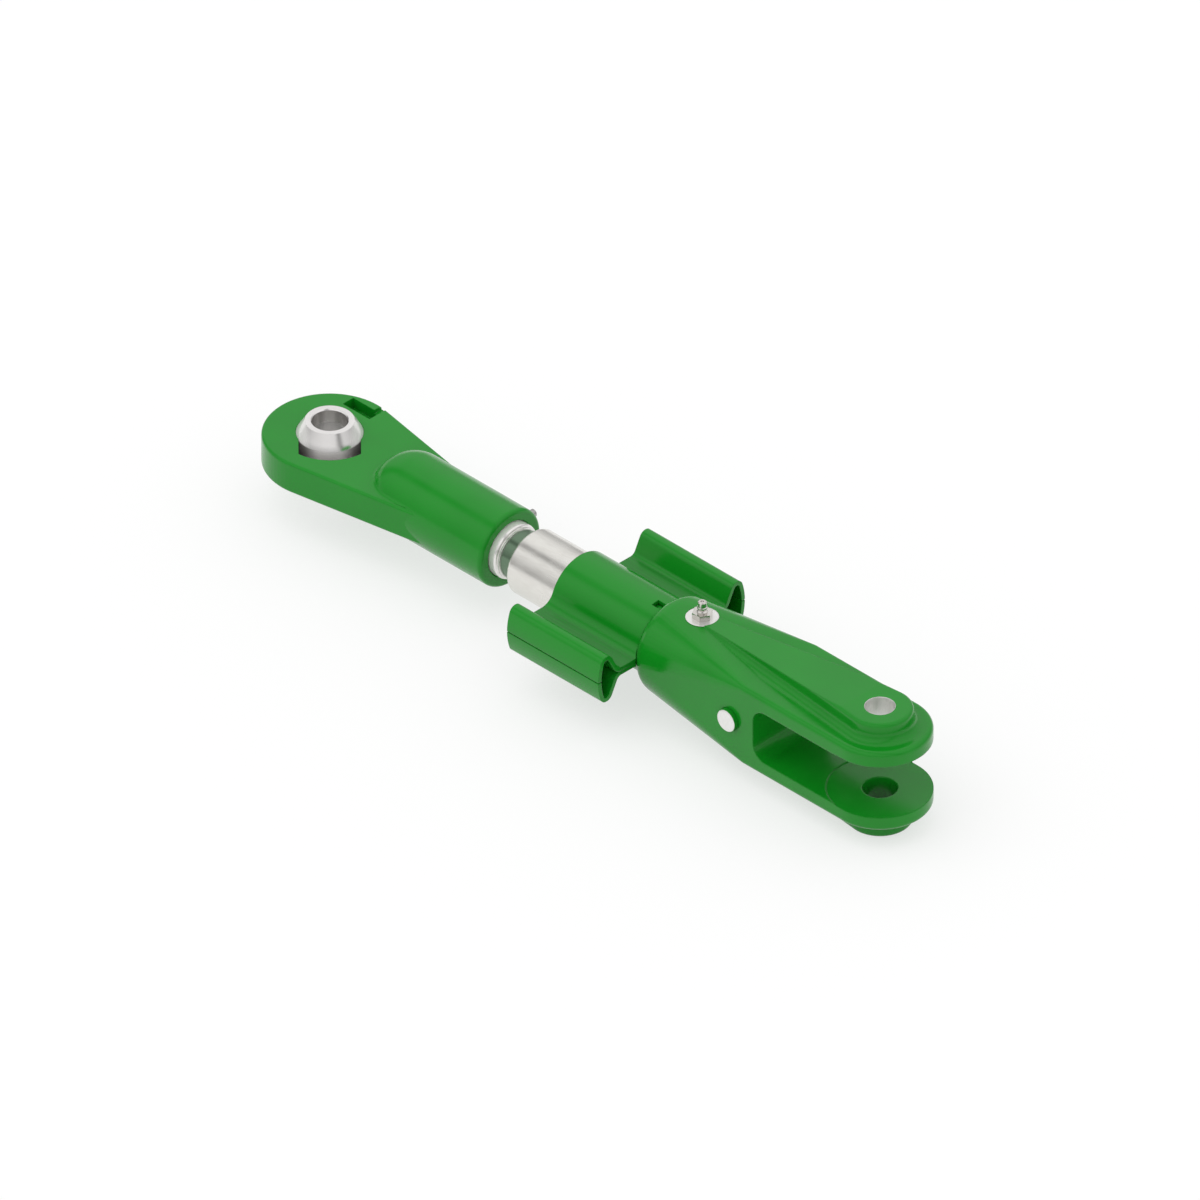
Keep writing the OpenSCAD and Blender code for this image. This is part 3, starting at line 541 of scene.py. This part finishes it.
# Turning sleeve.
# Drawn steel tube, ground on the outside and left bare, pinned to the screw. Its finish runs along the tube, so
# reflections lie in soft bands along it. The pin and the two keys are plain dark steel.
SLEEVE_STEEL = ((0.7, 0.68, 0.64), (0.82, 0.81, 0.77))
KEY_STEEL = ((0.35, 0.35, 0.34), (0.5, 0.5, 0.49))
GRINDING_MARKS = (0.08, 1.4, 1.4)
sleeve_finish = bare_steel(
    "ground_sleeve", SLEEVE_STEEL, rough=0.24, size=0.0006, stretch=GRINDING_MARKS, scratch=0.15
)
wear("turning_sleeve", sleeve_finish)
smooth(nodes["turning_sleeve"])
key_finish = bare_steel("key_steel", KEY_STEEL, rough=0.35)
for name in ("sleeve_pin", "near_drive_key", "far_drive_key"):
    wear(name, key_finish)


# Handle.
# Two identical pressings of 3.2 mm sheet, spot welded along their flanges and enamelled. The sheet is flat and
# clean; the troughs beside the sleeve get painted shade, in dull streaks along the link.
SHEET_SKIN = 0.00003
SHEET_STREAK = (0.12, 1.6, 1.6)
TROUGH_FROM, TROUGH_TO = 0.0345, 0.0505
# Stretch of the painted streaks, and how dark the painted shade in the troughs is.
TROUGH_STREAKS, PAINTED_TROUGH_SHADE = (0.03, 1, 1), 0.72
sheet_enamel = enamel("green_enamel_handle", SHEET_SKIN, streak=SHEET_STREAK)
sheet_tree = sheet_enamel.node_tree
sheet_where, sheet_xyz = place_in_link(sheet_tree)
off_centre = number(sheet_tree, "ABSOLUTE", sheet_xyz[1])
# Painted shade: the troughs beside the sleeve are darkened in streaks along the link.
into_trough = fade(sheet_tree, off_centre, TROUGH_FROM, TROUGH_FROM + 0.003, 0.0, 1.0)
out_of_trough = fade(sheet_tree, off_centre, TROUGH_TO, TROUGH_TO + 0.002, 1.0, 0.0)
in_trough = number(sheet_tree, "MULTIPLY", into_trough, out_of_trough)
streaks = spread(sheet_tree, grain(sheet_tree, sheet_where, 0.0011, stretch=TROUGH_STREAKS), 0.3, 1.0)
recolour(sheet_tree, number(sheet_tree, "MULTIPLY", in_trough, streaks), shaded(ENAMEL, PAINTED_TROUGH_SHADE))
for half in ("handle_upper_half", "handle_lower_half"):
    wear(half, sheet_enamel)
    smooth(nodes[half])


# Clevis.
# Drop forging with machined ear faces and holes, enamelled all over. The upper hole and the spot face under the
# grease fitting were machined after painting and are bare.
HOLE_FROM_END, HOLE_R = 0.0378, 0.01115
HOLE_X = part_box("clevis_body")[1].x - HOLE_FROM_END
FITTING_X = sum(corner.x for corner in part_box("clevis_check_ball")) / 2
SPOT_R = 0.01196
SPOT_Z, SPOT_SKIN = 0.0369, 0.00015
CLEVIS_EDGE = 0.0015


def bare_in_clevis(tree, xyz):
    """Bore of the upper ear and the spot face of the grease fitting."""
    x, y, z = xyz

    def within(centre_x, radius):
        return number(tree, "LESS_THAN", distance_off(tree, number(tree, "SUBTRACT", x, centre_x), y), radius)

    in_hole = number(tree, "MULTIPLY", within(HOLE_X, HOLE_R), number(tree, "GREATER_THAN", z, 0.0))
    off_spot = number(tree, "ABSOLUTE", number(tree, "SUBTRACT", z, SPOT_Z))
    on_spot = number(tree, "MULTIPLY", within(FITTING_X, SPOT_R), number(tree, "LESS_THAN", off_spot, SPOT_SKIN))
    return number(tree, "MAXIMUM", in_hole, on_spot)


wear("clevis_body", enamel("green_enamel_clevis", FORGED_SKIN, bare_in_clevis, edge=CLEVIS_EDGE))
smooth(nodes["clevis_body"])


# Retaining pins.
# Plain round steel pins pressed in before painting; their ends are wiped clean, and the rest is green.
PIN_SKIN = 0.00005
WIPED_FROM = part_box("far_retaining_pin")[1].y - 0.0005


def bare_pin_end(tree, xyz):
    """The outer end of either pin."""
    return number(tree, "GREATER_THAN", number(tree, "ABSOLUTE", xyz[1]), WIPED_FROM)


pin_finish = enamel("green_enamel_pins", PIN_SKIN, bare_pin_end)
wear("near_retaining_pin", pin_finish)
wear("far_retaining_pin", pin_finish)


# Thrust washer and journal seal.
# A bronze ring between sleeve and clevis, and a nitrile rubber ring that keeps the grease in.
BRONZE = ((0.5, 0.32, 0.1), (0.66, 0.44, 0.16))
NITRILE = (0.015, 0.015, 0.015, 1)
wear("thrust_washer", bare_steel("bronze", BRONZE, rough=0.35))
rubber, rubber_tree, rubber_shader = new_finish("nitrile_rubber")
rubber_grain = grain(rubber_tree, place_in_link(rubber_tree)[0], 0.002)
rubber_tree.links.new(spread(rubber_tree, rubber_grain, 0.5, 0.7), rubber_shader.inputs["Roughness"])
rubber_shader.inputs["Base Color"].default_value = NITRILE
wear("journal_seal", rubber)
